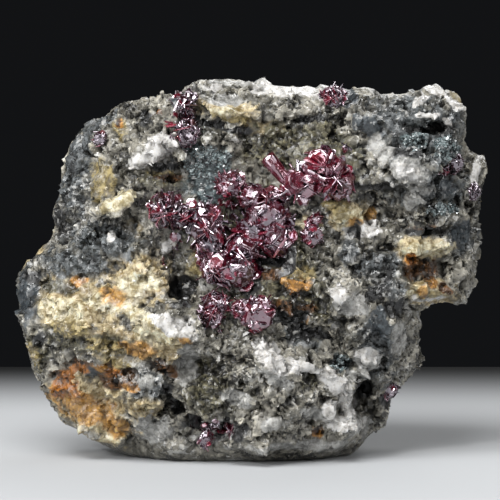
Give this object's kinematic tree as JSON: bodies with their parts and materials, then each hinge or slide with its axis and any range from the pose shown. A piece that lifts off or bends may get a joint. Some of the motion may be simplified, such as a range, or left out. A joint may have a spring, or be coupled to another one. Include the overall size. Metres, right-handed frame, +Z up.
{
  "type": "garnet in matrix",
  "caption": "Broken block of vein quartz with lustrous dark red bladed crystals grouped in a hollow of its front face, standing on a flat foot.",
  "frame": {"origin": "on the plane of the resting face, under the middle of the block's box", "axes": "+X to the right as seen from the crystal face, +Y from the crystal face to the back, +Z up"},
  "size_m": [0.066, 0.0394, 0.0523],
  "materials": {
    "quartz_matrix": "rough broken quartz, grey to cream, stained yellow and rust",
    "red_crystal": "bright natural crystal faces, dark red, adamantine"
  },
  "bodies": {
    "root": {"matrix": "quartz_matrix", "crystals_centre": "red_crystal", "crystals_tail": "red_crystal", "crystal_lower": "red_crystal", "crystal_upper": "red_crystal", "rosette_upper_right": "red_crystal", "rosette_left": "red_crystal", "rosette_top_left": "red_crystal", "crystal_upper_left": "red_crystal", "crystal_top": "red_crystal", "crystals_right": "red_crystal", "crystal_right_shoulder": "red_crystal", "crystal_right_edge": "red_crystal", "crystal_left_shoulder": "red_crystal", "crystal_foot": "red_crystal", "crystal_right_foot": "red_crystal"}
  },
  "joints": []
}
